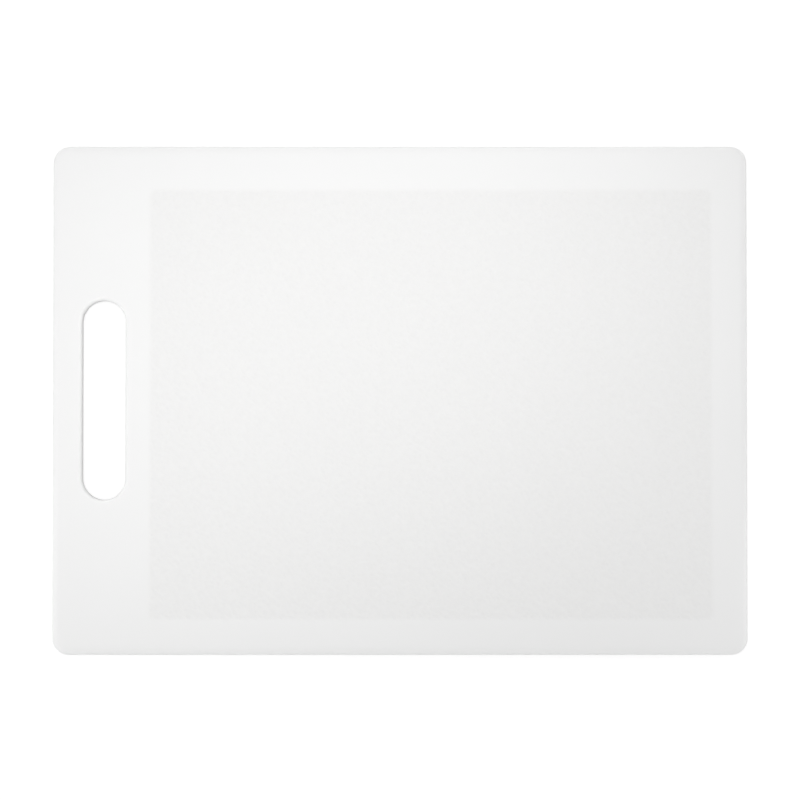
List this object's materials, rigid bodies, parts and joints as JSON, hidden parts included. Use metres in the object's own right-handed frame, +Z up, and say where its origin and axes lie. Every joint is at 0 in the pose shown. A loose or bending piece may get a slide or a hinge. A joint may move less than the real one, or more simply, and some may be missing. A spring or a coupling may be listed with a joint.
{
  "type": "cutting board",
  "caption": "One-piece white plastic cutting board with rounded edges, a hand slot at one end and a shallow grained cutting field on both faces.",
  "frame": {"origin": "under the middle of the board, on the face it rests on", "axes": "+X along the board's long side, away from the hand slot; +Y along its short side, towards the upper edge of the picture; +Z up out of the cutting face"},
  "size_m": [0.381, 0.279, 0.008],
  "materials": {
    "white_polyethylene": "satin"
  },
  "bodies": {
    "root": {"board": "white_polyethylene"}
  },
  "joints": []
}
